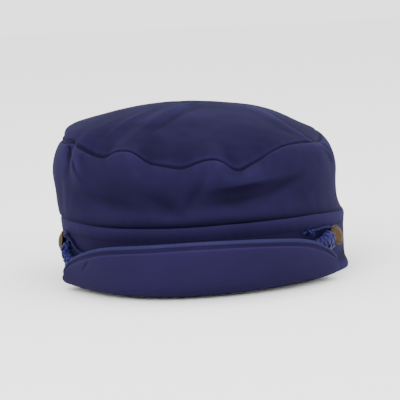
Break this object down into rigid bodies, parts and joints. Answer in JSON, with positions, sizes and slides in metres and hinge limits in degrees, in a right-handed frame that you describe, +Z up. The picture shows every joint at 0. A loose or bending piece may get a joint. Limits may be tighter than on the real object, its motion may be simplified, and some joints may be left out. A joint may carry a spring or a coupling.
{
  "type": "skipper cap",
  "caption": "Soft navy skipper cap with a slumped crown, stiff band, turned-up peak with a bound rim, and a blue chin cord between brass buttons.",
  "frame": {"origin": "centre of the cap's bounding box in plan, at the level of the band's bottom rim", "axes": "+Z up, -Y towards the front of the cap where the peak is, +X towards the wearer's left"},
  "size_m": [0.1736, 0.2332, 0.1014],
  "materials": {
    "crown_cloth": "matt navy cotton twill",
    "band_cloth": "matt navy cotton twill, firm",
    "peak_cloth": "smooth navy cotton over a stiff board",
    "peak_binding": "navy cotton binding",
    "cord": "shiny royal blue braid",
    "button_brass": "dull antique brass"
  },
  "bodies": {
    "root": {"crown_side": "crown_cloth", "crown_top": "crown_cloth", "band": "band_cloth", "peak": "peak_cloth", "peak_piping": "peak_binding", "chin_cord": "cord", "cord_tie_left": "cord", "cord_tie_right": "cord", "button_left": "button_brass", "button_right": "button_brass"}
  },
  "joints": []
}
